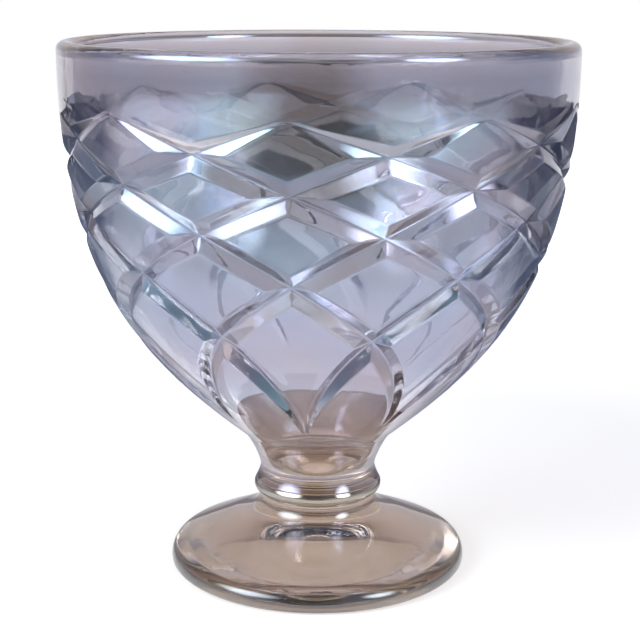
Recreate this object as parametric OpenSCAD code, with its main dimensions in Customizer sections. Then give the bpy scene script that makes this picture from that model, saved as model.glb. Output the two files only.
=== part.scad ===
// Footed mixing glass: a pressed bowl with a crossing diamond lattice of V-cuts,
// a flattened glass collar under it, and a round foot dished underneath, fused one on another.
// Millimetres, +Z up, origin at the centre of the ring that the foot stands on.
// The lattice has one column of crossings facing the front, along -Y.

/* [Bowl] */
// Outside diameter of the bowl below the rim
bowl_d = 120; // [106:0.5:136]
// Height of the bowl, from its seat on the collar to the top of the rim
bowl_h = 106; // [96:0.5:122]
// Thickness of the wall at the rim, which is rounded over
wall_t = 4; // [3:0.1:5]
// Thickness of the wall on the lower flank
flank_t = 4.6; // [3.5:0.1:5.5]
// Thickness of the glass between the inner floor and the seat
floor_t = 3; // [2:0.1:4.5]
// Drop from the rim to where the side starts to curve in
side_drop = 3.5; // [2.5:0.1:6]
// Pull of the side's curve straight down from there
side_pull = 51; // [40:0.5:60]
// Pull of the side's curve back up along the flank
flank_pull = 33; // [24:0.5:40]
// Slope of the flank from the horizontal, in degrees
flank_slope = 39.5; // [34:0.5:46]
// Outside diameter of the flank where it turns into the neck
flank_d = 37; // [33:0.5:42]
// Height of that turn above the seat
flank_z = 12.6; // [11:0.1:15]
// Pull of the inner curve from the flank towards the floor
cup_pull = 6; // [4:0.5:8]
// Diameter of the nearly flat middle of the inner floor
cup_d = 13; // [9:0.5:17]

/* [Neck] */
// Narrowest outside diameter of the neck
neck_d = 28.1; // [25:0.1:29.6]
// Height of the narrowest place above the seat
neck_z = 3.4; // [2.8:0.1:5]
// Pull of the neck's curve up and down from its narrowest place
neck_pull = 2; // [1:0.1:2.6]
// Diameter of the seat, where the bowl is fused to the collar
seat_d = 30.2; // [29.8:0.1:31]
// Slope of the neck's flare at the seat from the horizontal, in degrees
flare_slope = 63; // [50:1:75]

/* [Lattice] */
// Number of diamonds around the bowl
diamonds = 9; // [7:1:12]
// Drop from the rim to the lattice's top points
lattice_drop = 13.1; // [10:0.1:17]
// Height from the top points to the first row of crossings
row_pitch = 7.5; // [6.5:0.1:8.5]
// Growth of the row height, times the square of the rows passed
row_growth = 0.36; // [0.2:0.01:0.45]
// Height of the lattice's lower tips above the seat
tip_z = 19.2; // [16:0.1:23]
// Height of plain flank kept below the tips
tip_margin = 6; // [4:0.1:6.5]
// Full width of a V-cut
cut_w = 5.6; // [3.5:0.1:6.5]
// Depth of a V-cut
cut_depth = 1.6; // [0.8:0.1:2]

/* [Collar] */
// Thickness of the flattened collar
collar_t = 3; // [2.4:0.1:4]
// Largest diameter of the collar
collar_d = 31.2; // [30.8:0.1:34]
// Height of the collar's rounded lower edge, which ends at the foot's stem
collar_edge = 1.4; // [0.8:0.1:1.6]

/* [Foot] */
// Outside diameter of the foot
foot_d = 72.8; // [64:0.2:84]
// Height of the foot, from the table to the collar
foot_h = 18; // [16.5:0.1:20]
// Width of the foot's rounded edge, from the cone's lower end out to the widest place
edge_w = 1.7; // [1.2:0.1:2.4]
// Height of the cone's lower end, where the edge turns over
edge_h = 4.7; // [4.2:0.1:5.6]
// Height of the widest place, and rounding from there down to the ring
edge_low = 1.5; // [1:0.1:2]
// Pull of the edge's curve on along the cone
turn_pull = 1; // [0.6:0.1:1.4]
// Pull of the edge's curve straight up from the widest place
edge_pull = 1.7; // [1:0.1:2.2]
// Slope of the foot's upper cone from the horizontal, in degrees
foot_slope = 23.5; // [21:0.5:26]
// Outside diameter of the foot's short stem under the collar
stem_d = 28.4; // [27:0.1:29]
// Straight height of that stem
stem_h = 1; // [0.6:0.1:1.6]
// Diameter at which the stem's fillet has become the cone
fillet_d = 43; // [40:0.5:48]
// Width of the flat ring that the foot stands on
ring_w = 4.1; // [3:0.1:6]
// Height of the middle of the foot's dished underside above the table
dish_h = 6; // [4:0.1:8]
// Slope of the dish at its mouth from the horizontal, in degrees
dish_slope = 6; // [4:0.5:10]
// Pull of the dish's curve in from its mouth
dish_pull = 8; // [5:0.5:12]
// Pull of the dish's curve out from its middle
crown_pull = 10; // [7:0.5:13]
// Rounding of the dish's mouth
dish_round = 1.6; // [1:0.1:2.2]

/* [Hidden] */
$fn = 96;

// Heights of the pieces' joints
collar_z = foot_h;
seat_z = collar_z + collar_t;

// Steps in each curve and in each arc of an outline
curve_steps = 18;
arc_steps = 12;
// Steps across the plain middle of a diamond
field_steps = 4;
// Overlap of the lattice skin with the plain rim and neck, and the skin's step inwards there
seam_lap = 0.2;
seam_step = 0.05;
// Small change used for slopes
nudge = 0.01;
// Air above the rim that the inside's cutter reaches through
clear = 5;

// Rows of the lattice: the top points, the last crossings, the lower tips, and the plain ends
point_row = 1;
last_row = 6;
tip_row = 7;
end_row = 8;
// Share of a diamond's side taken by a V-cut that has run out
least_share = 0.05;

// Points of a cubic curve, without its last point
function curve(p, q, r, s) =
    [for (i = [0 : curve_steps - 1]) let (t = i / curve_steps)
        pow(1 - t, 3) * p + 3 * pow(1 - t, 2) * t * q + 3 * (1 - t) * t * t * r + pow(t, 3) * s];
// Points of an arc, both ends included, with angles from the horizontal
function arc(centre, radius, from, to) =
    [for (i = [0 : arc_steps]) let (a = from + (to - from) * i / arc_steps)
        centre + radius * [cos(a), sin(a)]];
// Direction at a slope from the horizontal
function along(slope) = [cos(slope), sin(slope)];
// Same number for places worked out in two ways
function snap(x) = round(x * 1e6) / 1e6;

// Outline of the bowl's outside, as [radius, height above the seat], from the rim down
side_top = [bowl_d / 2, bowl_h - side_drop];
flank = [flank_d / 2, flank_z];
neck = [neck_d / 2, neck_z];
seat = [seat_d / 2, 0];
outside = concat(
    curve(side_top, side_top - [0, side_pull], flank + flank_pull * along(flank_slope), flank),
    curve(flank, flank - neck_pull * along(flank_slope), neck + [0, neck_pull], neck),
    curve(neck, neck - [0, neck_pull / 2], seat + neck_pull / 2 * along(180 - flare_slope), seat),
    [seat]);
outside_by_height = [for (p = outside) [p[1], p[0]]];
function outside_r(z) = lookup(z, outside_by_height);
function outside_slope(z) = (outside_r(z + nudge) - outside_r(z - nudge)) / (2 * nudge);

// Outline of the bowl's inside, from the rim down to the axis
inner_top = [bowl_d / 2 - wall_t, bowl_h - side_drop];
inner_flank = flank + flank_t * along(90 + flank_slope);
cup = [0, floor_t];
inside = concat(
    curve(inner_top, inner_top - [0, side_pull], inner_flank + flank_pull * along(flank_slope),
        inner_flank),
    curve(inner_flank, inner_flank - cup_pull * along(flank_slope), cup + [cup_d / 2, 0], cup),
    [cup]);

// Drop of a lattice row from the rim; rows grow downwards, and the lower tips reach tip_z
function row_sum(v) =
    lattice_drop + row_pitch * (v - 1) + row_growth * (v - 2) * (v - 1) * (2 * v - 3) / 6;
last_drop = row_sum(last_row);
last_pace = (row_sum(last_row + nudge) - row_sum(last_row - nudge)) / (2 * nudge);
petal_h = bowl_h - tip_z - last_drop;
function row_drop(v) =
    v <= last_row ? row_sum(v)
    : v <= tip_row ? last_drop + last_pace * (v - last_row)
        + (petal_h - last_pace) * pow(v - last_row, 2)
    : last_drop + petal_h + tip_margin * (v - tip_row);
function row_z(v) = bowl_h - row_drop(v);

// How much of a V-cut is left at a row: it runs out at the top points and the lower tips
function cut_left(v) =
    v <= point_row || v >= tip_row ? 0
    : v < point_row + 1 ? v - point_row
    : v > last_row ? 1 - pow(v - last_row, 2)
    : 1;
// Distance between neighbouring cuts, measured across them
function cut_spacing(v) =
    let (z = row_z(v), across = PI / diamonds * outside_r(z))
    let (pace = (row_drop(v + nudge) - row_drop(v - nudge)) / (2 * nudge))
    let (down = pace * sqrt(1 + pow(outside_slope(z), 2)))
    2 * across * down / sqrt(across * across + down * down);
// Share of a diamond's side taken by half a cut
function cut_share(v) = max(least_share, cut_left(v) * cut_w / 2 / cut_spacing(v));

// Point of the lattice skin at u half-diamonds round and row v, sunk square to the surface
function skin_point(u, v, sunk) =
    let (turn = snap(u) * 180 / diamonds, row = snap(v), z = row_z(row), slope = outside_slope(z))
    let (end = row <= 0 || row >= end_row, tilt = sqrt(1 + slope * slope))
    let (r = outside_r(z) - (end ? seam_step : sunk / tilt))
    [r * sin(turn), -r * cos(turn), z + (end ? 0 : sunk * slope / tilt)];

// A diamond is a grid: its side cuts take the outer strips, and its field the steps between
grid = field_steps + 2;
function stop(i, first, last) =
    i == 0 ? 0
    : i == grid ? 1
    : first + (1 - first - last) * (i - 1) / field_steps;
// Grid points of the diamond centred at half-diamond u and row v, left corner first
function diamond_points(u, v) =
    [for (i = [0 : grid], j = [0 : grid])
        let (a0 = i / grid, b0 = j / grid)
        let (a = stop(i, cut_share(v - b0), cut_share(v + 1 - b0)))
        let (b = stop(j, cut_share(v + a0), cut_share(v - 1 + a0)))
        let (row = min(max(v + a - b, 0), end_row))
        let (edge = i == 0 || i == grid || j == 0 || j == grid)
        skin_point(u - 1 + a + b, row, edge ? cut_depth * cut_left(snap(row)) : 0)];

// Diamonds of the skin as [u, row], row by row; the first and last rows are halves
places = [for (v = [0 : end_row], k = [0 : diamonds - 1]) [2 * k + v % 2, v]];
per_diamond = (grid + 1) * (grid + 1);
function spot(n, i, j) = n * per_diamond + i * (grid + 1) + j;
// Two triangles of a cell; at the top and bottom corners the fold of the crossing cuts turns
function cell_faces(n, i, j, v) =
    let (left = spot(n, i, j), low = spot(n, i + 1, j))
    let (top = spot(n, i, j + 1), right = spot(n, i + 1, j + 1))
    let (over = [left, top, right], under = [left, right, low])
    let (turned = i + j == grid - 1 && (i == 0 || j == 0))
    v == 0 ? (i > j ? [over, under] : i == j ? [under] : [])
    : v == end_row ? (j > i ? [over, under] : i == j ? [over] : [])
    : turned ? [[left, top, low], [top, right, low]]
    : [over, under];

// Solid of the lattice zone, from the plain end above it to the plain end below it
module lattice_core() {
    diamond_count = len(places);
    skin = [for (p = places) each diamond_points(p[0], p[1])];
    caps = [[0, 0, row_z(0)], [0, 0, row_z(end_row)]];
    top_cap = len(skin);
    low_cap = top_cap + 1;
    sides = [for (n = [0 : diamond_count - 1], i = [0 : grid - 1], j = [0 : grid - 1])
        each cell_faces(n, i, j, places[n][1])];
    top_faces = [for (n = [0 : diamonds - 1], i = [0 : grid - 1])
        [top_cap, spot(n, i + 1, i + 1), spot(n, i, i)]];
    low_faces = [for (n = [diamond_count - diamonds : diamond_count - 1], i = [0 : grid - 1])
        [low_cap, spot(n, i, i), spot(n, i + 1, i + 1)]];
    polyhedron(concat(skin, caps), concat(sides, top_faces, low_faces));
}

// Plain band above the lattice, with the rounded rim
module rim_band() {
    low = row_z(0) - seam_lap;
    rim_r = wall_t / 2;
    lip = arc([bowl_d / 2 - rim_r, bowl_h - rim_r], rim_r, 0, 180);
    band = [for (i = [len(outside) - 1 : -1 : 0]) if (outside[i][1] > low + nudge) outside[i]];
    rotate_extrude()
        polygon(concat([[0, low], [outside_r(low), low]], band, lip, [[0, bowl_h - rim_r]]));
}

// Plain flank and neck below the lattice, down to the seat
module neck_stub() {
    top = row_z(end_row) + seam_lap;
    flare = [for (p = outside) if (p[1] < top - nudge) p];
    rotate_extrude()
        polygon(concat([[0, 0], [0, top], [outside_r(top), top]], flare));
}

// Pressed bowl: the plunger's inside is taken out of the moulded outside
module bowl() {
    color("#a9adc2")
        translate([0, 0, seat_z])
            difference() {
                union() {
                    lattice_core();
                    rim_band();
                    neck_stub();
                }
                rotate_extrude()
                    polygon(concat([[0, bowl_h + clear], [inner_top[0], bowl_h + clear]], inside));
            }
}

// Flattened collar between bowl and foot, widest just above its rounded lower edge
module collar() {
    stem_r = stem_d / 2;
    widest = [collar_d / 2, collar_edge];
    shoulder = [seat_d / 2, collar_t];
    lead = (collar_t - collar_edge) / 2;
    side = curve(shoulder, shoulder - lead * along(180 - flare_slope), widest + [0, lead], widest);
    edge = [for (p = arc([0, 0], 1, 0, -90))
        [stem_r + (widest[0] - stem_r) * p[0], collar_edge * (1 + p[1])]];
    color("#8f8a86")
        translate([0, 0, collar_z])
            rotate_extrude()
                polygon(concat([[0, 0], [0, collar_t]], side, edge));
}

// Foot: a short stem, a fillet into the cone, a rounded edge and a dished underside
module foot() {
    cone_end = [foot_d / 2 - edge_w, edge_h];
    widest = [foot_d / 2, edge_low];
    cone_top = [fillet_d / 2, cone_end[1] + (cone_end[0] - fillet_d / 2) * tan(foot_slope)];
    stem = [stem_d / 2, foot_h - stem_h];
    stem_pull = (stem[1] - cone_top[1]) / 2;
    fillet = curve(stem, stem - [0, stem_pull], cone_top + stem_pull * along(180 - foot_slope),
        cone_top);
    edge = concat(
        curve(cone_end, cone_end + turn_pull * along(-foot_slope), widest + [0, edge_pull], widest),
        arc(widest - [edge_low, 0], edge_low, 0, -90));

    ring_r = foot_d / 2 - edge_low - ring_w;
    mouth = [ring_r - dish_round / 2, 0];
    inward = along(180 - dish_slope);
    dish_end = mouth + dish_round * inward;
    crown = [0, dish_h];
    dish = curve(crown, crown + [crown_pull, 0], dish_end + dish_pull * inward, dish_end);
    lip = curve(dish_end, mouth, mouth, [ring_r, 0]);
    color("#b3a099")
        difference() {
            rotate_extrude()
                polygon(concat([[0, 0], [0, foot_h], [stem_d / 2, foot_h]], fillet, edge));
            rotate_extrude()
                polygon(concat([[0, -clear]], dish, lip, [[ring_r, 0], [ring_r, -clear]]));
        }
}

bowl();
collar();
foot();
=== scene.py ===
"""Looks of a footed mixing glass: lustred pressed glass in a plain white studio."""

import logging
import math
from dataclasses import dataclass, field
from enum import Enum
from typing import Any

import bmesh
import bpy
import numpy as np
from mathutils import Matrix, Vector


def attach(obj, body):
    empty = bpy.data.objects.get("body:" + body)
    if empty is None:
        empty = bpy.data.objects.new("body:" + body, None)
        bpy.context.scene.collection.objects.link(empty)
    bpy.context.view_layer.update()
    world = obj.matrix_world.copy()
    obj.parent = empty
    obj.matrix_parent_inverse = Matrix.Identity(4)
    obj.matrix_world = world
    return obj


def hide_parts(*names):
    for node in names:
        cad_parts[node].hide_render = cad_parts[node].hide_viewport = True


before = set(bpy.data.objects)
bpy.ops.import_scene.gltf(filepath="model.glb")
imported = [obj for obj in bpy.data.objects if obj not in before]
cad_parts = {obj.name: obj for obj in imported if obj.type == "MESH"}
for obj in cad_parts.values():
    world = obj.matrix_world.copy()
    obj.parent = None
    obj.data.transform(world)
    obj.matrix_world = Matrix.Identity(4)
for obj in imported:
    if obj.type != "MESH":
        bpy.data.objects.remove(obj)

LOG = logging.getLogger("mixing_glass")
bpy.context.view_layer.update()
MM = 0.001
ROOT = "root"
SAME_POINT = 1e-6
ON_AXIS = 1e-9


class Slot(Enum):
    """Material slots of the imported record."""

    BOWL = "lustred_bowl_glass"
    COLLAR = "smoky_collar_glass"
    FOOT = "smoky_foot_glass"


class FaceKind(Enum):
    """What a face of a piece is: open glass, or the face of a hot-fused joint."""

    GLASS = False
    FUSED = True


def linear_colour(hex_colour: str) -> tuple[float, float, float, float]:
    """Turn an sRGB hex colour into linear RGBA.

    Args:
        hex_colour: Six hex digits, such as "a9adc2".

    Returns:
        Linear red, green, blue and an alpha of one.
    """
    channels = [int(hex_colour[i:i + 2], 16) / 255 for i in (0, 2, 4)]
    red, green, blue = (
        c / 12.92 if c <= 0.04045 else ((c + 0.055) / 1.055) ** 2.4 for c in channels
    )
    return red, green, blue, 1.0


def add_node(tree: bpy.types.NodeTree, kind: str, inputs: dict[Any, Any] | None = None,
             **settings: Any) -> bpy.types.Node:
    """Add a node with its settings, and link or set its inputs.

    Args:
        tree: The node tree that gets the node.
        kind: Blender's name for the kind of node.
        inputs: Input name or number to an output socket or a plain value.
        settings: Properties of the node itself.

    Returns:
        The new node.
    """
    node = tree.nodes.new(kind)
    for name, value in settings.items():
        setattr(node, name, value)
    for key, value in (inputs or {}).items():
        if isinstance(value, bpy.types.NodeSocket):
            tree.links.new(value, node.inputs[key])
        else:
            node.inputs[key].default_value = value
    return node


def fill_ramp(ramp: bpy.types.Node, stops: list[tuple[float, str]]) -> bpy.types.NodeSocket:
    """Set the stops of a colour ramp.

    Args:
        ramp: The ramp's node.
        stops: Places from zero to one, with their sRGB hex colours.

    Returns:
        The ramp's colour.
    """
    elements = ramp.color_ramp.elements
    while len(elements) < len(stops):
        elements.new(1.0)
    for element, (at, colour) in zip(elements, stops):
        element.position = at
        element.color = linear_colour(colour)
    return ramp.outputs[0]


def along(slope: float) -> np.ndarray:
    """Direction in an outline at a slope in degrees from the horizontal."""
    return np.array([math.cos(math.radians(slope)), math.sin(math.radians(slope))])


def cubic(p: np.ndarray, q: np.ndarray, r: np.ndarray, s: np.ndarray, steps: int) -> np.ndarray:
    """Points of a cubic curve.

    Args:
        p: First end.
        q: First pull.
        r: Second pull.
        s: Second end.
        steps: Number of steps.

    Returns:
        Points from p to s, both included.
    """
    t = np.linspace(0.0, 1.0, steps + 1)[:, None]
    return (1 - t) ** 3 * p + 3 * (1 - t) ** 2 * t * q + 3 * (1 - t) * t ** 2 * r + t ** 3 * s


def arc(centre: np.ndarray, radii: tuple[float, float], start: float, end: float,
        steps: int) -> np.ndarray:
    """Points of a circular or elliptical arc.

    Args:
        centre: Middle of the arc.
        radii: Half-widths across and up.
        start: First angle in degrees from the horizontal.
        end: Last angle.
        steps: Number of steps.

    Returns:
        Points from start to end, both included.
    """
    turn = np.radians(np.linspace(start, end, steps + 1))
    return centre + np.stack([radii[0] * np.cos(turn), radii[1] * np.sin(turn)], axis=1)


def join(*runs: np.ndarray) -> np.ndarray:
    """Join runs of outline points, dropping a point that repeats the one before it.

    Args:
        runs: Points in order, one a row.

    Returns:
        The joined points.
    """
    points = np.concatenate(runs)
    kept = np.ones(len(points), bool)
    kept[1:] = np.linalg.norm(np.diff(points, axis=0), axis=1) > SAME_POINT
    return points[kept]


@dataclass
class Sector:
    """One share of a round piece, gathered patch by patch in millimetres."""

    points: list[np.ndarray] = field(default_factory=list)
    faces: list[tuple[int, ...]] = field(default_factory=list)
    fused: list[bool] = field(default_factory=list)
    count: int = 0

    def add(self, points: np.ndarray, faces: list[tuple[int, ...]], kind: FaceKind) -> None:
        """Add a patch.

        Args:
            points: Its points, one a row.
            faces: Its faces, as numbers of those points.
            kind: What its faces are.
        """
        self.points.append(points)
        self.faces += [tuple(self.count + i for i in face) for face in faces]
        self.fused += [kind.value] * len(faces)
        self.count += len(points)

    def add_turned(self, outline: np.ndarray, turns: np.ndarray, kind: FaceKind) -> None:
        """Add an outline turned about the axis.

        Args:
            outline: Radius and height of its points, walked with the glass on the right.
            turns: Angles from the front, in radians.
            kind: What its faces are.
        """
        radius, height = outline[:, :1], outline[:, 1:]
        grid = np.stack(
            [radius * np.sin(turns), -radius * np.cos(turns), height + 0 * turns], axis=-1
        )
        columns = len(turns)
        faces = []
        for i in range(len(outline) - 1):
            for j in range(columns - 1):
                low, high = i * columns + j, (i + 1) * columns + j
                if outline[i, 0] < ON_AXIS:
                    faces.append((low, high, high + 1))
                elif outline[i + 1, 0] < ON_AXIS:
                    faces.append((low, high, low + 1))
                else:
                    faces.append((low, high, high + 1, low + 1))
        self.add(grid.reshape(-1, 3), faces, kind)

    def mesh(self, name: str) -> bpy.types.Mesh:
        """Make the sector a mesh in metres.

        Args:
            name: Name of the mesh.

        Returns:
            The mesh, with its joint faces marked by the attribute "fused".
        """
        mesh = bpy.data.meshes.new(name)
        mesh.from_pydata((np.concatenate(self.points) * MM).tolist(), [], self.faces)
        marks = mesh.attributes.new("fused", "BOOLEAN", "FACE")
        marks.data.foreach_set("value", self.fused)
        return mesh


def repeat_round_tree() -> bpy.types.NodeTree:
    """Build the tree that repeats a sector round the axis and closes it into one skin.

    Returns:
        The tree, with inputs for the sector, the count, the weld distance and both materials.
    """
    tree = bpy.data.node_groups.new("repeat_round", "GeometryNodeTree")
    sockets = tree.interface
    for name, kind in (("Sector", "NodeSocketGeometry"), ("Count", "NodeSocketInt"),
                       ("Weld", "NodeSocketFloat"), ("Glass", "NodeSocketMaterial"),
                       ("Joint", "NodeSocketMaterial")):
        sockets.new_socket(name, in_out="INPUT", socket_type=kind)
    sockets.new_socket("Piece", in_out="OUTPUT", socket_type="NodeSocketGeometry")
    given = add_node(tree, "NodeGroupInput")
    centre = add_node(tree, "GeometryNodePoints", {"Count": given.outputs["Count"]})
    step = add_node(tree, "ShaderNodeMath", {0: math.tau, 1: given.outputs["Count"]},
                    operation="DIVIDE")
    number = add_node(tree, "GeometryNodeInputIndex")
    turn = add_node(tree, "ShaderNodeMath", {0: number.outputs[0], 1: step.outputs[0]},
                    operation="MULTIPLY")
    spin = add_node(tree, "ShaderNodeCombineXYZ", {"Z": turn.outputs[0]})
    copies = add_node(tree, "GeometryNodeInstanceOnPoints", {
        "Points": centre.outputs[0], "Instance": given.outputs["Sector"],
        "Rotation": spin.outputs[0]})
    real = add_node(tree, "GeometryNodeRealizeInstances", {"Geometry": copies.outputs[0]})
    welded = add_node(tree, "GeometryNodeMergeByDistance", {
        "Geometry": real.outputs[0], "Distance": given.outputs["Weld"]})
    smooth = add_node(tree, "GeometryNodeSetShadeSmooth", {
        "Geometry": welded.outputs[0], "Shade Smooth": True})
    fused = add_node(tree, "GeometryNodeInputNamedAttribute", {"Name": "fused"},
                     data_type="BOOLEAN")
    flat = add_node(tree, "GeometryNodeSetShadeSmooth", {
        "Geometry": smooth.outputs[0], "Selection": fused.outputs[0], "Shade Smooth": False})
    glass = add_node(tree, "GeometryNodeSetMaterial", {
        "Geometry": flat.outputs[0], "Material": given.outputs["Glass"]})
    joint = add_node(tree, "GeometryNodeSetMaterial", {
        "Geometry": glass.outputs[0], "Selection": fused.outputs[0],
        "Material": given.outputs["Joint"]})
    add_node(tree, "NodeGroupOutput", {"Piece": joint.outputs[0]})
    return tree


@dataclass(frozen=True)
class JointFinish:
    """Hot-fused joint: the glass has run together, so the eye sees no surface there."""

    name: str = "hot_fused_joint"

    def material(self) -> bpy.types.Material:
        """Make a material that shows nothing and bends nothing.

        Returns:
            The material.
        """
        material = bpy.data.materials.new(self.name)
        material.use_nodes = True
        material.node_tree.nodes.clear()
        surface = add_node(material.node_tree, "ShaderNodeBsdfPrincipled", {"Alpha": 0.0})
        add_node(material.node_tree, "ShaderNodeOutputMaterial", {"Surface": surface.outputs[0]})
        return material


@dataclass(frozen=True)
class LustreFinish:
    """Fire-polished pressed glass with a sprayed metal-oxide lustre.

    The lustre tints what passes through it, more so at a slant, and mirrors the room like a
    thin clear coat, in colours that shift as the oxide film's thickness changes. The deeper tint
    at a slant is also painted shade, standing in for the dark room seen along the edges. The
    glass itself is a little smoky, so a long way through it looks darker. The pressing leaves a
    faint ripple. Sizes are in millimetres, films in nanometres.
    """

    name: str
    tints: tuple[tuple[float, str], ...]
    film_nm: tuple[float, float]
    film_ior: float
    edge_tint_and_shade: str
    smoke: str
    smoke_way: float = 10.0
    edge_power: float = 2.0
    film_patch: float = 26.0
    film_detail: float = 1.5
    film_spread: tuple[float, float] = (0.3, 0.7)
    ior: float = 1.52
    roughness: tuple[float, float] = (0.008, 0.03)
    wear_grain: float = 1.4
    wear_detail: float = 3.0
    wear_spread: tuple[float, float] = (0.35, 0.75)
    ripple_width: float = 13.0
    ripple_depth: float = 0.07
    peel_width: float = 2.4
    peel_depth: float = 0.008
    mirror: float = 0.7
    mirror_rough: float = 0.045
    mirror_ior: float = 1.95

    def tint(self, tree: bpy.types.NodeTree, place: bpy.types.NodeSocket) -> bpy.types.NodeSocket:
        """Colour what the lustre lets through by height on the glass.

        Args:
            tree: Node tree of the glass.
            place: Place on the piece.

        Returns:
            The colour of two faces of the lustre.
        """
        top = self.tints[-1][0]
        height = add_node(tree, "ShaderNodeSeparateXYZ", {0: place}).outputs["Z"]
        share = add_node(tree, "ShaderNodeMapRange", {"Value": height, "From Max": top * MM})
        ramp = add_node(tree, "ShaderNodeValToRGB", {"Fac": share.outputs[0]})
        return fill_ramp(ramp, [(at / top, colour) for at, colour in self.tints])

    def slanted(self, tree: bpy.types.NodeTree, tint: bpy.types.NodeSocket) -> bpy.types.NodeSocket:
        """Deepen the tint where the surface is seen at a slant, partly as painted shade for the
        dark room seen along the edges.

        Args:
            tree: Node tree of the glass.
            tint: Colour seen straight on.

        Returns:
            The deepened colour.
        """
        lean = add_node(tree, "ShaderNodeLayerWeight", {"Blend": 0.5}).outputs["Facing"]
        slant = add_node(tree, "ShaderNodeMath", {0: lean, 1: self.edge_power}, operation="POWER")
        # Painted shade: toward the edge tint at a slant, for the dark room seen along the edges as
        # well as the longer way through the lustre.
        deep = add_node(tree, "ShaderNodeMix", {
            "Factor": slant.outputs[0], 6: tint, 7: linear_colour(self.edge_tint_and_shade)},
            data_type="RGBA", blend_type="MULTIPLY")
        return deep.outputs[2]

    def smoky(self, tree: bpy.types.NodeTree, way: bpy.types.NodeSocket,
              within: bpy.types.NodeSocket, tint: bpy.types.NodeSocket
              ) -> tuple[bpy.types.NodeSocket, bpy.types.NodeSocket]:
        """Lay the smoke of the glass on its faces as seen from within.

        Absorption in the volume would follow a ray out through a fused joint. So each inner
        face takes the smoke of the way to it: squared in the base colour, of which one face
        shows the root, and plain in the tint of what is mirrored back into the glass.

        Args:
            tree: Node tree of the glass.
            way: Length of the ray up to the face.
            within: One where the face is seen from within.
            tint: Colour of the lustre.

        Returns:
            The base colour and the tint of mirrored light.
        """
        ways = add_node(tree, "ShaderNodeMath", {0: way, 1: self.smoke_way * MM},
                        operation="DIVIDE").outputs[0]
        twice = add_node(tree, "ShaderNodeMath", {0: ways, 1: 2.0}, operation="MULTIPLY")
        passed = add_node(tree, "ShaderNodeGamma", {
            "Color": linear_colour(self.smoke), "Gamma": twice.outputs[0]})
        turned = add_node(tree, "ShaderNodeGamma", {
            "Color": linear_colour(self.smoke), "Gamma": ways})
        base = add_node(tree, "ShaderNodeMix", {
            "Factor": within, 6: tint, 7: passed.outputs[0]},
            data_type="RGBA", blend_type="MULTIPLY")
        back = add_node(tree, "ShaderNodeMix", {
            "Factor": within, 6: linear_colour("ffffff"), 7: turned.outputs[0]}, data_type="RGBA")
        return base.outputs[2], back.outputs[2]

    def film(self, tree: bpy.types.NodeTree, place: bpy.types.NodeSocket,
             within: bpy.types.NodeSocket) -> bpy.types.NodeSocket:
        """Spread the oxide film in soft patches, seen from outside alone.

        Args:
            tree: Node tree of the glass.
            place: Place on the piece.
            within: One where the face is seen from within.

        Returns:
            Thickness of the film in nanometres.
        """
        patches = add_node(tree, "ShaderNodeTexNoise", {
            "Vector": place, "Scale": 1 / (self.film_patch * MM), "Detail": self.film_detail})
        even = add_node(tree, "ShaderNodeMapRange", {
            "Value": patches.outputs[0], "From Min": self.film_spread[0],
            "From Max": self.film_spread[1], "To Min": self.film_nm[0],
            "To Max": self.film_nm[1]})
        outside = add_node(tree, "ShaderNodeMath", {0: 1.0, 1: within}, operation="SUBTRACT")
        return add_node(tree, "ShaderNodeMath", {0: even.outputs[0], 1: outside.outputs[0]},
                        operation="MULTIPLY").outputs[0]

    def gloss(self, tree: bpy.types.NodeTree, place: bpy.types.NodeSocket) -> bpy.types.NodeSocket:
        """Make the surface fire-polished, with the fine dulling of use.

        Args:
            tree: Node tree of the glass.
            place: Place on the piece.

        Returns:
            The roughness.
        """
        grain = add_node(tree, "ShaderNodeTexNoise", {
            "Vector": place, "Scale": 1 / (self.wear_grain * MM), "Detail": self.wear_detail})
        return add_node(tree, "ShaderNodeMapRange", {
            "Value": grain.outputs[0], "From Min": self.wear_spread[0],
            "From Max": self.wear_spread[1], "To Min": self.roughness[0],
            "To Max": self.roughness[1]}).outputs[0]

    def pressed(self, tree: bpy.types.NodeTree, place: bpy.types.NodeSocket
                ) -> bpy.types.NodeSocket:
        """Leave the mould's slow ripple and the fine peel of fire polish.

        Args:
            tree: Node tree of the glass.
            place: Place on the piece.

        Returns:
            The normal.
        """
        ripple = add_node(tree, "ShaderNodeTexNoise", {
            "Vector": place, "Scale": 1 / (self.ripple_width * MM), "Detail": 0.0})
        wave = add_node(tree, "ShaderNodeBump", {
            "Height": ripple.outputs[0], "Distance": self.ripple_depth * MM, "Strength": 1.0})
        peel = add_node(tree, "ShaderNodeTexNoise", {
            "Vector": place, "Scale": 1 / (self.peel_width * MM), "Detail": 1.0})
        return add_node(tree, "ShaderNodeBump", {
            "Height": peel.outputs[0], "Distance": self.peel_depth * MM, "Strength": 1.0,
            "Normal": wave.outputs[0]}).outputs[0]

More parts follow.
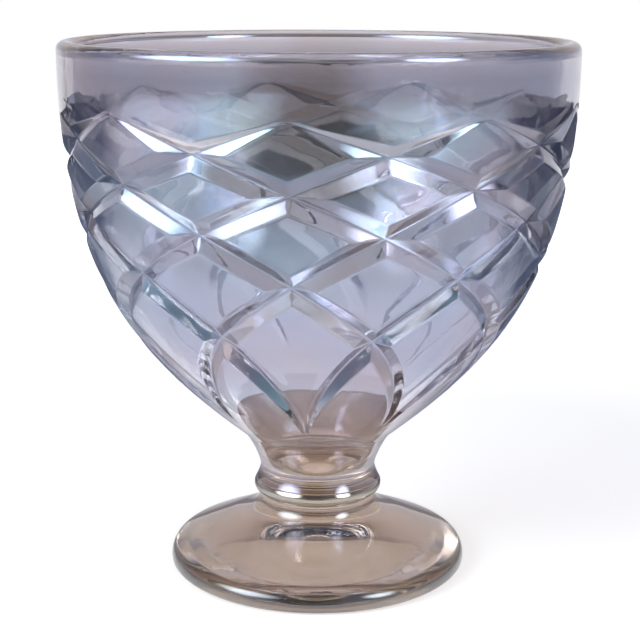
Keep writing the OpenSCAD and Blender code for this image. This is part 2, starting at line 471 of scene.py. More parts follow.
    def material(self) -> bpy.types.Material:
        """Make the lustred glass, which lets lamp light through unbent and tinted.

        Returns:
            The material.
        """
        material = bpy.data.materials.new(self.name)
        material.use_nodes = True
        tree = material.node_tree
        tree.nodes.clear()
        place = add_node(tree, "ShaderNodeTexCoord").outputs["Object"]
        within = add_node(tree, "ShaderNodeNewGeometry").outputs["Backfacing"]
        ray = add_node(tree, "ShaderNodeLightPath").outputs
        tint = self.tint(tree, place)
        base, back = self.smoky(tree, ray["Ray Length"], within, self.slanted(tree, tint))
        glass = add_node(tree, "ShaderNodeBsdfPrincipled", {
            "Base Color": base, "Specular Tint": back, "Roughness": self.gloss(tree, place),
            "IOR": self.ior, "Transmission Weight": 1.0, "Normal": self.pressed(tree, place),
            "Thin Film Thickness": self.film(tree, place, within),
            "Thin Film IOR": self.film_ior, "Coat Weight": self.mirror,
            "Coat Roughness": self.mirror_rough, "Coat IOR": self.mirror_ior})
        lit_through = add_node(tree, "ShaderNodeMath", {
            0: ray["Is Shadow Ray"], 1: ray["Is Diffuse Ray"]}, operation="MAXIMUM")
        one_face = add_node(tree, "ShaderNodeGamma", {"Color": tint, "Gamma": 0.5})
        clear = add_node(tree, "ShaderNodeBsdfTransparent", {"Color": one_face.outputs[0]})
        surface = add_node(tree, "ShaderNodeMixShader", {
            0: lit_through.outputs[0], 1: glass.outputs[0], 2: clear.outputs[0]})
        add_node(tree, "ShaderNodeOutputMaterial", {"Surface": surface.outputs[0]})
        return material


@dataclass
class RoundPiece:
    """A piece of the glass that repeats round the axis. Sizes are in millimetres."""

    name: str
    node: str
    slot: Slot
    finish: LustreFinish
    base: float
    copies: int = 9
    columns: int = 24
    weld: float = 0.002

    def turns(self) -> np.ndarray:
        """Angles of the sector's columns from the front, in radians."""
        half = math.pi / self.copies
        return np.linspace(-half, half, self.columns + 1)

    def sector(self) -> Sector:
        """Return one share of the piece."""
        raise NotImplementedError

    def build(self, tree: bpy.types.NodeTree, joint: bpy.types.Material) -> bpy.types.Object:
        """Repeat the sector round the axis and make the result a plain mesh.

        Args:
            tree: The tree that repeats a sector.
            joint: Material of the fused faces.

        Returns:
            The finished piece, at the origin.
        """
        piece = bpy.data.objects.new(self.name, self.sector().mesh(self.name + "_sector"))
        bpy.context.scene.collection.objects.link(piece)
        modifier = piece.modifiers.new("repeat_round", "NODES")
        modifier.node_group = tree
        settings = {"Count": self.copies, "Weld": self.weld * MM,
                    "Glass": self.finish.material(), "Joint": joint}
        for item in tree.interface.items_tree:
            if item.in_out == "INPUT" and item.name in settings:
                modifier[item.identifier] = settings[item.name]
        shape = piece.evaluated_get(bpy.context.evaluated_depsgraph_get())
        mesh = bpy.data.meshes.new_from_object(shape)
        # The sector's own slot is empty, and the tree's two materials come after it.
        mesh.materials.pop(index=0)
        piece.modifiers.remove(modifier)
        piece.data = mesh
        mesh.name = self.name
        return piece

    def dress(self, piece: bpy.types.Object) -> None:
        """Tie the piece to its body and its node.

        Args:
            piece: The finished piece.
        """
        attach(piece, ROOT)
        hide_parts(self.node)


@dataclass
class Bowl(RoundPiece):
    """The pressed bowl with its lattice of V-cuts, rounded rim and drawn-in neck."""

    outer_d: float = 120.0
    tall: float = 106.0
    wall: float = 4.0
    flank_wall: float = 4.6
    floor: float = 3.0
    side_drop: float = 3.5
    side_pull: float = 51.0
    flank_pull: float = 33.0
    flank_slope: float = 39.5
    flank_d: float = 37.0
    flank_z: float = 12.6
    cup_pull: float = 6.0
    cup_d: float = 13.0
    neck_d: float = 28.1
    neck_z: float = 3.4
    neck_pull: float = 2.0
    seat_d: float = 30.2
    flare_slope: float = 63.0
    lattice_drop: float = 13.1
    row_pitch: float = 7.5
    row_growth: float = 0.36
    tip_z: float = 19.2
    tip_margin: float = 6.0
    cut_w: float = 5.6
    cut_depth: float = 1.6
    last_row: int = 6
    tip_row: int = 7
    end_row: int = 8
    least_share: float = 0.05
    bottom_round: float = 0.07
    shoulder_round: float = 0.11
    cut_stops: tuple[float, ...] = (0.0, 0.07, 0.16, 0.34, 0.56, 0.78, 0.9, 1.0, 1.1, 1.26)
    field_steps: int = 8
    cut_guess: float = 0.17
    seam_gap: float = 0.05
    side_steps: int = 160
    neck_steps: int = 40
    flare_steps: int = 12
    cup_steps: int = 22
    wall_steps: int = 44
    rim_steps: int = 18

    def __post_init__(self) -> None:
        """Work out the outlines once."""
        top = np.array([self.outer_d / 2, self.tall - self.side_drop])
        flank = np.array([self.flank_d / 2, self.flank_z])
        neck = np.array([self.neck_d / 2, self.neck_z])
        seat = np.array([self.seat_d / 2, 0.0])
        down, up = along(-90), along(90)
        slope, pull = along(self.flank_slope), self.neck_pull
        self.outside = join(
            cubic(top, top + self.side_pull * down, flank + self.flank_pull * slope, flank,
                  self.side_steps),
            cubic(flank, flank - pull * slope, neck + pull * up, neck, self.neck_steps),
            cubic(neck, neck + pull / 2 * down, seat + pull / 2 * along(180 - self.flare_slope),
                  seat, self.flare_steps),
        )
        inner_top = top - np.array([self.wall, 0.0])
        inner_flank = flank + self.flank_wall * along(90 + self.flank_slope)
        cup = np.array([0.0, self.floor])
        self.inside = join(
            cubic(cup, cup + self.cup_d / 2 * along(0), inner_flank - self.cup_pull * slope,
                  inner_flank, self.cup_steps),
            cubic(inner_flank, inner_flank + self.flank_pull * slope,
                  inner_top + self.side_pull * down, inner_top, self.wall_steps),
        )
        lip = self.wall / 2
        self.rim = arc(np.array([self.outer_d / 2 - lip, self.tall - lip]), (lip, lip), 180, 0,
                       self.rim_steps)
        self.last_drop = self.row_sum(self.last_row)
        nudge = 0.01
        nearby = self.row_sum(self.last_row + np.array([-nudge, 0.0, nudge]))
        self.last_pace = float(np.gradient(nearby, nudge)[1])
        self.petal = self.tall - self.tip_z - self.last_drop

    def outer_radius(self, height: np.ndarray) -> np.ndarray:
        """Radius of the uncut outside at a height above the seat."""
        return np.interp(height, self.outside[::-1, 1], self.outside[::-1, 0])

    def outer_slope(self, height: np.ndarray) -> np.ndarray:
        """Change of that radius with height."""
        nudge = 0.4
        return (self.outer_radius(height + nudge) - self.outer_radius(height - nudge)) / (2 * nudge)

    def row_sum(self, row: Any) -> Any:
        """Drop of a lattice row from the rim, down to the last crossings."""
        grown = (row - 2) * (row - 1) * (2 * row - 3) / 6
        return self.lattice_drop + self.row_pitch * (row - 1) + self.row_growth * grown

    def row_height(self, row: np.ndarray) -> np.ndarray:
        """Find a lattice row's height, down to the tips and the plain flank.

        Args:
            row: Row, counted from the rim; parts of a row lie between.

        Returns:
            Height above the seat.
        """
        past = row - self.last_row
        petals = self.last_drop + self.last_pace * past + (self.petal - self.last_pace) * past ** 2
        tail = self.last_drop + self.petal + self.tip_margin * (row - self.tip_row)
        drop = np.where(past <= 0, self.row_sum(row), np.where(row <= self.tip_row, petals, tail))
        return self.tall - drop

    def cut_left(self, row: np.ndarray) -> np.ndarray:
        """How much of a V-cut is left at a row: it runs out at the points and the tips."""
        return np.clip(np.minimum(row - 1, 1 - np.maximum(row - self.last_row, 0) ** 2), 0, 1)

    def cut_share(self, row: np.ndarray) -> np.ndarray:
        """Find how wide a cut is at a row.

        Args:
            row: Lattice row.

        Returns:
            Share of a diamond's side taken by half a cut.
        """
        nudge = 0.01
        height = self.row_height(row)
        across = math.pi / self.copies * self.outer_radius(height)
        pace = (self.row_height(row - nudge) - self.row_height(row + nudge)) / (2 * nudge)
        down = pace * np.sqrt(1 + self.outer_slope(height) ** 2)
        spacing = 2 * across * down / np.hypot(across, down)
        return np.maximum(self.least_share, self.cut_left(row) * self.cut_w / 2 / spacing)

    def stops(self, first: np.ndarray, last: np.ndarray, even: np.ndarray) -> np.ndarray:
        """Places across a diamond: close together in the side cuts, even between them.

        Args:
            first: Share of the cut at the start.
            last: Share of the cut at the end.
            even: Number of each stop, counted from the start.

        Returns:
            The places from zero to one.
        """
        cut = np.array(self.cut_stops)
        reach = len(cut) - 1
        total = 2 * reach + self.field_steps
        near, far = first * cut[-1], 1 - last * cut[-1]
        middle = near + (far - near) * (even - reach) / self.field_steps
        opening = first * cut[np.clip(even, 0, reach)]
        closing = 1 - last * cut[np.clip(total - even, 0, reach)]
        return np.where(even <= reach, opening, np.where(even >= total - reach, closing, middle))

    def cut_section(self, aside: np.ndarray, row: np.ndarray) -> np.ndarray:
        """Depth of one cut: a V with a rounded bottom and rounded shoulders.

        Args:
            aside: Distance from the middle of the cut, as a share of a diamond's side.
            row: Lattice row there.

        Returns:
            Depth in millimetres.
        """
        share = np.abs(aside) / self.cut_share(row)
        rise = 1 + self.bottom_round - np.hypot(share, self.bottom_round)
        k = self.shoulder_round
        eased = np.where(rise > k, rise, np.where(rise < -k, 0.0, (rise + k) ** 2 / (4 * k)))
        return self.cut_depth * self.cut_left(row) * eased

    def diamond(self, at: float, row: int) -> np.ndarray:
        """Grid of points over one diamond of the lattice, left corner first.

        Args:
            at: Half-diamonds round from the front to its middle.
            row: Row of its middle.

        Returns:
            Points in rows and columns, above the seat.
        """
        total = 2 * (len(self.cut_stops) - 1) + self.field_steps
        number = np.arange(total + 1)
        guess = self.stops(np.array(self.cut_guess), np.array(self.cut_guess), number)
        i, j = np.meshgrid(number, number, indexing="ij")
        a0, b0 = np.meshgrid(guess, guess, indexing="ij")
        a = self.stops(self.cut_share(row - b0), self.cut_share(row + 1 - b0), i)
        b = self.stops(self.cut_share(row + a0), self.cut_share(row - 1 + a0), j)
        v = np.clip(row + a - b, 0, self.end_row)
        depth = np.zeros_like(v)
        for aside, there in ((a, row - b), (1 - a, row + 1 - b),
                             (b, row + a), (1 - b, row - 1 + a)):
            depth = np.maximum(depth, self.cut_section(aside, np.clip(there, 0, self.end_row)))
        return self.skin(at - 1 + a + b, v, depth)

    def skin(self, half_steps: np.ndarray, row: np.ndarray, sunk: np.ndarray) -> np.ndarray:
        """Place points of the lattice skin, sunk square to the plain outside.

        Args:
            half_steps: Half-diamonds round from the front.
            row: Lattice row.
            sunk: Depth below the plain outside.

        Returns:
            The points.
        """
        turn = half_steps * math.pi / self.copies
        height = self.row_height(row)
        slope = self.outer_slope(height)
        tilt = np.sqrt(1 + slope ** 2)
        ends = (row <= 0) | (row >= self.end_row)
        radius = self.outer_radius(height) - np.where(ends, 0, sunk / tilt)
        lifted = height + np.where(ends, 0, sunk * slope / tilt)
        return np.stack([radius * np.sin(turn), -radius * np.cos(turn), lifted + self.base], -1)

    def diamond_faces(self, row: int, size: int) -> list[tuple[int, ...]]:
        """Triangles over a diamond's grid, folded along the mitres of its corners.

        Args:
            row: Row of its middle; the first and last rows are halves.
            size: Steps along a side.

        Returns:
            Faces as point numbers, seen anticlockwise from outside.
        """
        faces = []
        for i in range(size):
            for j in range(size):
                left, low = i * (size + 1) + j, (i + 1) * (size + 1) + j
                top, right = left + 1, low + 1
                over, under = (left, right, top), (left, low, right)
                if row == 0:
                    faces += [over, under] if i > j else [under] if i == j else []
                elif row == self.end_row:
                    faces += [over, under] if j > i else [over] if i == j else []
                elif (2 * i < size) == (2 * j < size):
                    faces += [over, under]
                else:
                    faces += [(left, low, top), (top, low, right)]
        return faces

    def sector(self) -> Sector:
        """Gather a column of diamonds with its share of the rim, inside, neck and seat.

        Returns:
            The sector.
        """
        sector = Sector()
        size = 2 * (len(self.cut_stops) - 1) + self.field_steps
        for row in range(self.end_row + 1):
            points = self.diamond(row % 2, row).reshape(-1, 3)
            sector.add(points, self.diamond_faces(row, size), FaceKind.GLASS)
        half_share = self.stops(np.array(self.least_share), np.array(self.least_share),
                                np.arange(size + 1))
        turns = (2 * half_share - 1) * math.pi / self.copies
        start, stop = (self.row_height(np.array(float(row))) for row in (0, self.end_row))
        lift = np.array([0.0, self.base])
        outside = self.outside
        band = outside[outside[:, 1] > start + self.seam_gap]
        edge = np.array([[self.outer_radius(start), start]])
        sector.add_turned(join(self.inside, self.rim, band, edge) + lift, turns, FaceKind.GLASS)
        flank = np.array([[self.outer_radius(stop), stop]])
        flare = outside[outside[:, 1] < stop - self.seam_gap]
        sector.add_turned(join(flank, flare) + lift, turns, FaceKind.GLASS)
        seat = np.array([[self.seat_d / 2, 0.0], [0.0, 0.0]])
        sector.add_turned(seat + lift, turns, FaceKind.FUSED)
        return sector


@dataclass
class Collar(RoundPiece):
    """The flattened wafer of glass between bowl and foot."""

    thick: float = 3.0
    outer_d: float = 31.2
    edge: float = 1.4
    seat_d: float = 30.2
    stem_d: float = 28.4
    flare_slope: float = 63.0
    shoulder_steps: int = 12
    edge_steps: int = 14

    def sector(self) -> Sector:
        """Turn a share of the collar with both fused faces.

        Returns:
            The sector.
        """
        sector = Sector()
        lift = np.array([0.0, self.base])
        shoulder = np.array([self.seat_d / 2, self.thick])
        widest = np.array([self.outer_d / 2, self.edge])
        lead = (self.thick - self.edge) / 2
        stem = self.stem_d / 2
        side = join(
            cubic(shoulder, shoulder - lead * along(180 - self.flare_slope),
                  widest + lead * along(90), widest, self.shoulder_steps),
            arc(np.array([stem, self.edge]), (widest[0] - stem, self.edge), 0, -90,
                self.edge_steps),
        )
        turns = self.turns()
        top = np.array([[0.0, self.thick], shoulder])
        under = np.array([[stem, 0.0], [0.0, 0.0]])
        sector.add_turned(top + lift, turns, FaceKind.FUSED)
        sector.add_turned(side + lift, turns, FaceKind.GLASS)
        sector.add_turned(under + lift, turns, FaceKind.FUSED)
        return sector


@dataclass
class Foot(RoundPiece):
    """The round foot with its short stem, cone, rounded edge and dished underside."""

    tall: float = 18.0
    outer_d: float = 72.8
    edge_w: float = 1.7
    edge_h: float = 4.7
    edge_low: float = 1.5
    turn_pull: float = 1.0
    edge_pull: float = 1.7
    slope: float = 23.5
    stem_d: float = 28.4
    stem_h: float = 1.0
    fillet_d: float = 43.0
    ring_w: float = 4.1
    dish_h: float = 6.0
    dish_slope: float = 6.0
    dish_pull: float = 8.0
    crown_pull: float = 10.0
    dish_round: float = 1.6
    stem_steps: int = 2
    fillet_steps: int = 24
    cone_steps: int = 8
    edge_steps: int = 16
    under_steps: int = 10
    mouth_steps: int = 10
    dish_steps: int = 40

    def sector(self) -> Sector:
        """Turn a share of the foot with its fused top.

        Returns:
            The sector.
        """
        sector = Sector()
        fall = math.tan(math.radians(self.slope))
        cone_end = np.array([self.outer_d / 2 - self.edge_w, self.edge_h])
        widest = np.array([self.outer_d / 2, self.edge_low])
        under = widest - np.array([self.edge_low, 0.0])
        cone_r = self.fillet_d / 2
        cone_top = np.array([cone_r, cone_end[1] + (cone_end[0] - cone_r) * fall])
        stem_top = np.array([self.stem_d / 2, self.tall])
        stem = stem_top - np.array([0.0, self.stem_h])
        pull = (stem[1] - cone_top[1]) / 2
        up_cone, down_cone = along(180 - self.slope), along(-self.slope)
        ring = np.array([under[0] - self.ring_w, 0.0])
        mouth = ring - np.array([self.dish_round / 2, 0.0])
        inward = along(180 - self.dish_slope)
        dish_end = mouth + self.dish_round * inward
        crown = np.array([0.0, self.dish_h])
        outer = join(
            np.linspace(stem_top, stem, self.stem_steps + 1),
            cubic(stem, stem - np.array([0.0, pull]), cone_top + pull * up_cone, cone_top,
                  self.fillet_steps),
            np.linspace(cone_top, cone_end, self.cone_steps + 1),
            cubic(cone_end, cone_end + self.turn_pull * down_cone,
                  widest + self.edge_pull * along(90), widest, self.edge_steps),
            arc(under, (self.edge_low, self.edge_low), 0, -90, self.under_steps),
            np.array([[under[0], 0.0], ring]),
        )
        inner = join(
            cubic(ring, mouth, mouth, dish_end, self.mouth_steps),
            cubic(dish_end, dish_end + self.dish_pull * inward,
                  crown + self.crown_pull * along(0), crown, self.dish_steps),
        )
        turns = self.turns()
        lift = np.array([0.0, self.base])
        sector.add_turned(np.array([[0.0, self.tall], stem_top]) + lift, turns, FaceKind.FUSED)
        sector.add_turned(join(outer, inner) + lift, turns, FaceKind.GLASS)
        return sector


@dataclass(frozen=True)
class FloorCard:
    """A soft-edged dark card on the floor, which shows in the glass alone. In millimetres."""

    strength: float
    across: tuple[float, float]
    deep: tuple[float, float]
    blur: float = 150.0

    def share(self, tree: bpy.types.NodeTree, axes: Any,
              mirrored: bpy.types.NodeSocket) -> bpy.types.NodeSocket:
        """Mark where the card lies.

        Args:
            tree: Node tree of the floor's paint.
            axes: Sockets of the place on the floor.
            mirrored: One for a ray that comes by way of the glass.

        Returns:
            The card's share.
        """
        share = add_node(tree, "ShaderNodeMath", {0: mirrored, 1: self.strength},
                         operation="MULTIPLY").outputs[0]
        for axis, (start, end) in ((axes["X"], self.across), (axes["Y"], self.deep)):
            for edge, inside in ((start, self.blur), (end, -self.blur)):
                within = add_node(tree, "ShaderNodeMapRange", {
                    "Value": axis, "From Min": edge * MM, "From Max": (edge + inside) * MM})
                share = add_node(tree, "ShaderNodeMath", {0: share, 1: within.outputs[0]},
                                 operation="MULTIPLY").outputs[0]
        return share


@dataclass(frozen=True)
class StudioFloor:
    """Painted round floor that keeps the shadow. Sizes are in millimetres.

    The camera sees it white. The glass shows a white sheet under its foot, a blue-grey table
    beside and behind the sheet, and dark cards, which draw its edges and cuts.
    """

    radius: float = 1100.0
    segments: int = 128
    drop: float = 0.2
    paint: str = "e7e7e7"
    shadow_reach: tuple[float, float] = (150.0, 450.0)
    shadow_glow: float = 0.5
    white_glow: float = 1.0
    near_reach: tuple[float, float] = (36.0, 60.0)
    near_glow: float = 0.88
    sheet_glow: float = 0.46
    sheet_middle: float = -40.0
    sheet_edge: tuple[float, float] = (150.0, 240.0)
    table_paint: str = "7c859b"
    table_back: tuple[float, float] = (0.0, 100.0)
    lit_across: tuple[float, float] = (60.0, 180.0)
    lit_deep: tuple[float, float] = (80.0, -60.0)
    card_paint: str = "76706a"
    cards: tuple[FloorCard, ...] = (
        FloorCard(0.78, (-300.0, 130.0), (250.0, 1300.0)),
        FloorCard(1.0, (-260.0, 340.0), (-1300.0, -190.0)),
    )

    def table_share(self, tree: bpy.types.NodeTree, axes: Any, through: bpy.types.NodeSocket,
                    mirrored: bpy.types.NodeSocket) -> bpy.types.NodeSocket:
        """Mark where the glass shows the table: beside the sheet, and behind in its mirror.

        Args:
            tree: Node tree of the paint.
            axes: Sockets of the place on the floor.
            through: One for a ray that last passed through the glass.
            mirrored: One for any ray that comes by way of the glass.

        Returns:
            The table's share.
        """
        apart = add_node(tree, "ShaderNodeMath", {0: axes["X"], 1: self.sheet_middle * MM},
                         operation="SUBTRACT")
        aside = add_node(tree, "ShaderNodeMath", {0: apart.outputs[0]}, operation="ABSOLUTE")
        off_sheet = add_node(tree, "ShaderNodeMapRange", {
            "Value": aside.outputs[0], "From Min": self.sheet_edge[0] * MM,
            "From Max": self.sheet_edge[1] * MM})
        outward = add_node(tree, "ShaderNodeMath", {0: axes["X"]}, operation="ABSOLUTE")
        # Painted pool of light: toward the front, beyond the sheet, the table is left as bright as
        # the sheet, as if a window lit it.
        lit = mirrored
        for axis, (start, end) in ((outward.outputs[0], self.lit_across),
                                   (axes["Y"], self.lit_deep)):
            side = add_node(tree, "ShaderNodeMapRange", {
                "Value": axis, "From Min": start * MM, "From Max": end * MM})
            lit = add_node(tree, "ShaderNodeMath", {0: lit, 1: side.outputs[0]},
                           operation="MULTIPLY").outputs[0]
        unlit = add_node(tree, "ShaderNodeMath", {0: mirrored, 1: lit}, operation="SUBTRACT")
        beside = add_node(tree, "ShaderNodeMath", {
            0: off_sheet.outputs[0], 1: unlit.outputs[0]}, operation="MULTIPLY")
        back = add_node(tree, "ShaderNodeMapRange", {
            "Value": axes["Y"], "From Min": self.table_back[0] * MM,
            "From Max": self.table_back[1] * MM})
        reflected = add_node(tree, "ShaderNodeMath", {0: mirrored, 1: through},
                             operation="SUBTRACT")
        behind = add_node(tree, "ShaderNodeMath", {
            0: back.outputs[0], 1: reflected.outputs[0]}, operation="MULTIPLY")
        return add_node(tree, "ShaderNodeMath", {0: beside.outputs[0], 1: behind.outputs[0]},
                        operation="MAXIMUM").outputs[0]

    def glow(self, tree: bpy.types.NodeTree, away: bpy.types.NodeSocket,
             direct: bpy.types.NodeSocket, sheet: bpy.types.NodeSocket) -> bpy.types.NodeSocket:
        """Give the floor the light that makes it white.

        Args:
            tree: Node tree of the paint.
            away: Distance from the foot.
            direct: One for a ray that comes straight from the camera.
            sheet: How much of the white sheet a ray by way of the glass sees.

        Returns:
            The strength of the glow.
        """
        fade = add_node(tree, "ShaderNodeMapRange", {
            "Value": away, "From Min": self.shadow_reach[0] * MM,
            "From Max": self.shadow_reach[1] * MM, "To Min": self.shadow_glow,
            "To Max": self.white_glow})
        plain = add_node(tree, "ShaderNodeMath", {0: fade.outputs[0], 1: direct},
                         operation="MULTIPLY")
        # Painted pool of light: to rays by way of the glass, the floor under the foot glows
        # brighter than the rest of the sheet, so that the foot reads light.
        bright = add_node(tree, "ShaderNodeMapRange", {
            "Value": away, "From Min": self.near_reach[0] * MM,
            "From Max": self.near_reach[1] * MM, "To Min": self.near_glow,
            "To Max": self.sheet_glow})
        return add_node(tree, "ShaderNodeMath", {
            0: sheet, 1: bright.outputs[0], 2: plain.outputs[0]},
            operation="MULTIPLY_ADD").outputs[0]

    def material(self) -> bpy.types.Material:
        """Mix matt studio paint, which takes a soft shadow and mirrors nothing.

        Returns:
            The material.
        """
        material = bpy.data.materials.new("painted_studio_floor")
        material.use_nodes = True
        tree = material.node_tree
        tree.nodes.clear()
        ray = add_node(tree, "ShaderNodeLightPath").outputs
        mirrored = add_node(tree, "ShaderNodeMath", {
            0: ray["Is Glossy Ray"], 1: ray["Is Transmission Ray"]}, operation="MAXIMUM").outputs[0]
        place = add_node(tree, "ShaderNodeTexCoord").outputs["Object"]
        axes = add_node(tree, "ShaderNodeSeparateXYZ", {0: place}).outputs
        away = add_node(tree, "ShaderNodeVectorMath", {0: place}, operation="LENGTH")
        table = self.table_share(tree, axes, ray["Is Transmission Ray"], mirrored)
        card = 0.0
        for dark_card in self.cards:
            spot = dark_card.share(tree, axes, mirrored)
            card = add_node(tree, "ShaderNodeMath", {0: card, 1: spot},
                            operation="MAXIMUM").outputs[0]
        dark = add_node(tree, "ShaderNodeMath", {0: table, 1: card}, operation="MAXIMUM")
        sheet = add_node(tree, "ShaderNodeMath", {0: mirrored, 1: dark.outputs[0]},
                         operation="SUBTRACT")
        glow = self.glow(tree, away.outputs["Value"], ray["Is Camera Ray"], sheet.outputs[0])
        sides = add_node(tree, "ShaderNodeMix", {
            "Factor": table, 6: linear_colour(self.paint), 7: linear_colour(self.table_paint)},
            data_type="RGBA")
        colour = add_node(tree, "ShaderNodeMix", {
            "Factor": card, 6: sides.outputs[2], 7: linear_colour(self.card_paint)},
            data_type="RGBA")
        paint = add_node(tree, "ShaderNodeBsdfDiffuse", {"Color": colour.outputs[2]})
        shine = add_node(tree, "ShaderNodeEmission", {"Strength": glow})
        both = add_node(tree, "ShaderNodeAddShader", {0: paint.outputs[0], 1: shine.outputs[0]})
        add_node(tree, "ShaderNodeOutputMaterial", {"Surface": both.outputs[0]})
        return material

    def build(self) -> bpy.types.Object:
        """Lay the floor a hair below the foot.

        Returns:
            The floor.
        """
        mesh = bpy.data.meshes.new("floor")
        shape = bmesh.new()
        bmesh.ops.create_circle(shape, cap_ends=True, radius=self.radius * MM,
                                segments=self.segments)
        shape.to_mesh(mesh)
        shape.free()
        mesh.materials.append(self.material())
        floor = bpy.data.objects.new("floor", mesh)
        bpy.context.scene.collection.objects.link(floor)
        floor.location.z = -self.drop * MM
        return floor


@dataclass(frozen=True)
class StudioRoom:
    """Light of the room, as colours by elevation in degrees.

    Behind the glass hangs a pale backdrop, the sides are dim and the side behind the camera is
    dark. An edge is given by how far a level direction points to the back, from -1 to 1.
    """

    sides: tuple[tuple[float, str], ...] = (
        (-6.0, "d4d3dc"), (4.0, "d4d3dc"), (14.0, "bcbdca"), (28.0, "747a8c"), (90.0, "41475a"))
    backdrop: tuple[tuple[float, str], ...] = (
        (-6.0, "f2f2f6"), (-1.0, "e6e6ec"), (4.0, "cfcfd8"), (14.0, "d8cec8"), (26.0, "c8bdb5"),
        (36.0, "a39a93"), (50.0, "7d7772"), (75.0, "41475a"))
    backdrop_edge: tuple[float, float] = (0.55, 0.8)
    near_side: tuple[tuple[float, str], ...] = (
        (-6.0, "2e2e30"), (14.0, "363638"), (40.0, "4a4c54"), (90.0, "41475a"))
    near_edge: tuple[float, float] = (-0.88, -0.98)

    def sky(self, tree: bpy.types.NodeTree, up: bpy.types.NodeSocket,
            colours: tuple[tuple[float, str], ...]) -> bpy.types.NodeSocket:
        """Colour one side of the room by elevation.

        Args:
            tree: Node tree of the world.
            up: Height of a direction, from zero straight down to one straight up.
            colours: Elevations with their colours.

        Returns:
            The colour.
        """
        ramp = add_node(tree, "ShaderNodeValToRGB", {"Fac": up})
        return fill_ramp(ramp, [((1 + math.sin(math.radians(elevation))) / 2, colour)
                                for elevation, colour in colours])

    def build(self) -> None:
        """Set the world, which is white to the camera and the room to all else."""
        world = bpy.data.worlds.new("studio")
        bpy.context.scene.world = world
        world.use_nodes = True
        tree = world.node_tree
        tree.nodes.clear()
        way = add_node(tree, "ShaderNodeTexCoord").outputs["Generated"]
        axes = add_node(tree, "ShaderNodeSeparateXYZ", {0: way}).outputs
        up = add_node(tree, "ShaderNodeMapRange", {"Value": axes["Z"], "From Min": -1.0}).outputs[0]
        level = add_node(tree, "ShaderNodeVectorMath", {0: way, 1: (1.0, 1.0, 0.0)},
                         operation="MULTIPLY")
        bearing = add_node(tree, "ShaderNodeVectorMath", {0: level.outputs[0]},
                           operation="NORMALIZE")
        facing = add_node(tree, "ShaderNodeSeparateXYZ", {0: bearing.outputs[0]}).outputs["Y"]
        around = self.sky(tree, up, self.sides)
        for edge, colours in ((self.backdrop_edge, self.backdrop),
                              (self.near_edge, self.near_side)):
            part = add_node(tree, "ShaderNodeMapRange", {
                "Value": facing, "From Min": edge[0], "From Max": edge[1]})
            around = add_node(tree, "ShaderNodeMix", {
                "Factor": part.outputs[0], 6: around, 7: self.sky(tree, up, colours)},
                data_type="RGBA").outputs[2]
        direct = add_node(tree, "ShaderNodeLightPath").outputs["Is Camera Ray"]
        seen = add_node(tree, "ShaderNodeMix", {
            "Factor": direct, 6: around, 7: linear_colour("ffffff")}, data_type="RGBA")
        light = add_node(tree, "ShaderNodeBackground", {"Color": seen.outputs[2]})
        add_node(tree, "ShaderNodeOutputWorld", {"Surface": light.outputs[0]})


@dataclass(frozen=True)
class SoftLamp:
    """A lamp with a wide panel that dims to its edge. In millimetres and watts."""

    name: str
    place: tuple[float, float, float]
    width: float
    height: float
    watts: float
    core: float = 0.1
    edge: float = 0.5
    aim: tuple[float, float, float] = (0.0, 0.0, 70.0)

    def hang(self) -> bpy.types.Object:
        """Hang the lamp so that it faces the middle of the bowl.

        Returns:
            The lamp.
        """
        light = bpy.data.lights.new(self.name, "AREA")
        light.shape = "RECTANGLE"
        light.size = self.width * MM
        light.size_y = self.height * MM
        light.energy = self.watts
        light.use_nodes = True
        tree = light.node_tree
        tree.nodes.clear()
        spot = add_node(tree, "ShaderNodeNewGeometry").outputs["Parametric"]
        off = add_node(tree, "ShaderNodeVectorMath", {0: spot, 1: (0.5, 0.5, 0.0)},
                       operation="SUBTRACT")
        level = add_node(tree, "ShaderNodeVectorMath", {0: off.outputs[0], 1: (1.0, 1.0, 0.0)},
                         operation="MULTIPLY")
        reach = add_node(tree, "ShaderNodeVectorMath", {0: level.outputs[0]}, operation="LENGTH")
        soft = add_node(tree, "ShaderNodeMapRange", {
            "Value": reach.outputs["Value"], "From Min": self.core, "From Max": self.edge,
            "To Min": 1.0, "To Max": 0.0}, interpolation_type="SMOOTHSTEP")
        glow = add_node(tree, "ShaderNodeEmission", {"Strength": soft.outputs[0]})
        add_node(tree, "ShaderNodeOutputLight", {"Surface": glow.outputs[0]})
        lamp = bpy.data.objects.new(self.name, light)
        bpy.context.scene.collection.objects.link(lamp)
        lamp.location = Vector(self.place) * MM
        sight = Vector(self.aim) * MM - lamp.location
        lamp.rotation_euler = sight.to_track_quat("-Z", "Y").to_euler()
        return lamp


@dataclass(frozen=True)
class PhotoCamera:
    """The photograph's camera, in degrees and millimetres, with its lens in pixels.

    It was fitted to the rim, the foot and the lattice crossings.
    """

    turn: float = 5.955
    away: float = 339.33
    up: float = 141.855
    pitch: float = 13.512
    yaw: float = 0.077
    roll: float = 0.192
    focal_px: float = 1444.05
    image_px: float = 640.0
    sensor: float = 36.0
    clip: tuple[float, float] = (10.0, 20000.0)

    def build(self) -> bpy.types.Object:
        """Place the camera and make it the scene's own.

        Returns:
            The camera.
        """
        data = bpy.data.cameras.new("camera")
        data.sensor_width = self.sensor
        data.lens = self.focal_px / self.image_px * self.sensor
        data.clip_start = self.clip[0] * MM
        data.clip_end = self.clip[1] * MM
        camera = bpy.data.objects.new("camera", data)
        bpy.context.scene.collection.objects.link(camera)
        turn = math.radians(self.turn)
        place = Vector((math.sin(turn), -math.cos(turn), 0)) * self.away
        place.z = self.up
        spin = Matrix.Rotation(math.radians(self.turn - self.yaw), 4, "Z")
        tilt = Matrix.Rotation(math.radians(90 - self.pitch), 4, "X")
        roll = Matrix.Rotation(math.radians(self.roll), 4, "Z")
        camera.matrix_world = Matrix.Translation(place * MM) @ spin @ tilt @ roll
        bpy.context.scene.camera = camera
        return camera


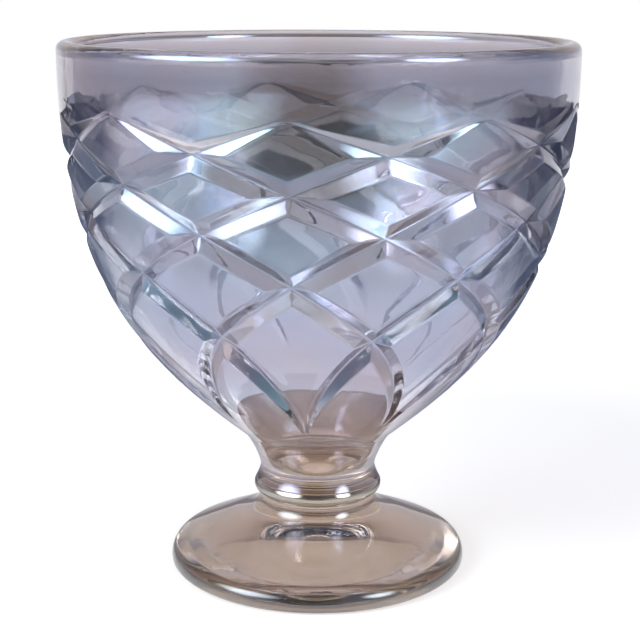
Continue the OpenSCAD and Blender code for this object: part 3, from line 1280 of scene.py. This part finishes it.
@dataclass(frozen=True)
class Studio:
    """Plain white studio: pale floor, dim room, soft lamps, and the photograph's camera."""

    floor: StudioFloor = StudioFloor()
    room: StudioRoom = StudioRoom()
    lamps: tuple[SoftLamp, ...] = (
        SoftLamp("key_lamp", (-680.0, -520.0, 500.0), 1030.0, 910.0, 28.0),
        SoftLamp("fill_lamp", (620.0, -420.0, 420.0), 460.0, 640.0, 9.0),
    )
    camera: PhotoCamera = PhotoCamera()
    mirror_bounces: int = 9

    def build(self) -> None:
        """Set up floor, room, lamps, camera and view."""
        self.floor.build()
        self.room.build()
        for lamp in self.lamps:
            lamp.hang()
        self.camera.build()
        scene = bpy.context.scene
        scene.view_settings.view_transform = "Standard"
        scene.cycles.glossy_bounces = self.mirror_bounces


def main() -> None:
    """Build the glass piece by piece, then the studio round it."""
    logging.basicConfig(level=logging.INFO)
    # Pressed glass sprayed hot with a metal-oxide lustre: it reads as pale lavender to blue-grey,
    # warm and smoky at the neck, with navy edges that are partly painted shade, and a pearly
    # mirror over the cuts.
    bowl_glass = LustreFinish(
        "lustred_pressed_glass",
        tints=((22.0, "b2a795"), (33.0, "c9bab0"), (46.0, "e0dcec"), (70.0, "cfd6e5"),
               (100.0, "c0c2c6"), (121.0, "bdb9c1"), (127.0, "f2eaf0")),
        film_nm=(156.0, 203.0), film_ior=1.8, edge_tint_and_shade="465088", smoke="fafafc")
    smoke = "efe9e6"
    # Smoky pressed glass with hardly any lustre: clear taupe, and dark where one looks along it,
    # so that the foot shows its rolled edge and a dark arch over the dished underside. Below 4.2 mm
    # the tint turns dark olive. This is painted shade of the table under the rolled edge and of the
    # dark surroundings it shows, on top of the long way through the thick edge.
    foot_glass = LustreFinish(
        "smoky_pressed_glass",
        tints=((0.0, "8a7c6d"), (4.2, "948673"), (5.0, "eae0e1"), (11.0, "eae0e1"),
               (15.0, "f4e8dd"), (19.0, "f9e9d5")),
        film_nm=(40.0, 60.0), film_ior=1.7, edge_tint_and_shade="6e6556", smoke=smoke, mirror=0.1)
    # The same smoky glass in a thick round-edged wafer, with small bright highlights. Its darker
    # tint is painted shade of the crease between bowl and foot, which the foot mirrors as its dark
    # arch.
    collar_glass = LustreFinish(
        "smoky_pressed_glass_painted_shade",
        tints=((17.0, "8e847b"), (22.0, "93897d")),
        film_nm=(60.0, 78.0), film_ior=2.2, edge_tint_and_shade="5e5648", smoke=smoke, mirror=0.1)
    pieces = (
        Foot("foot_glass", "foot", Slot.FOOT, foot_glass, base=0.0),
        Collar("collar_glass", "collar", Slot.COLLAR, collar_glass, base=18.0),
        Bowl("bowl_glass", "bowl", Slot.BOWL, bowl_glass, base=21.0),
    )
    tree = repeat_round_tree()
    joint = JointFinish().material()
    for maker in pieces:
        piece = maker.build(tree, joint)
        maker.dress(piece)
        LOG.info("%s: %d faces", piece.name, len(piece.data.polygons))
    Studio().build()


if __name__ == "__main__":
    main()
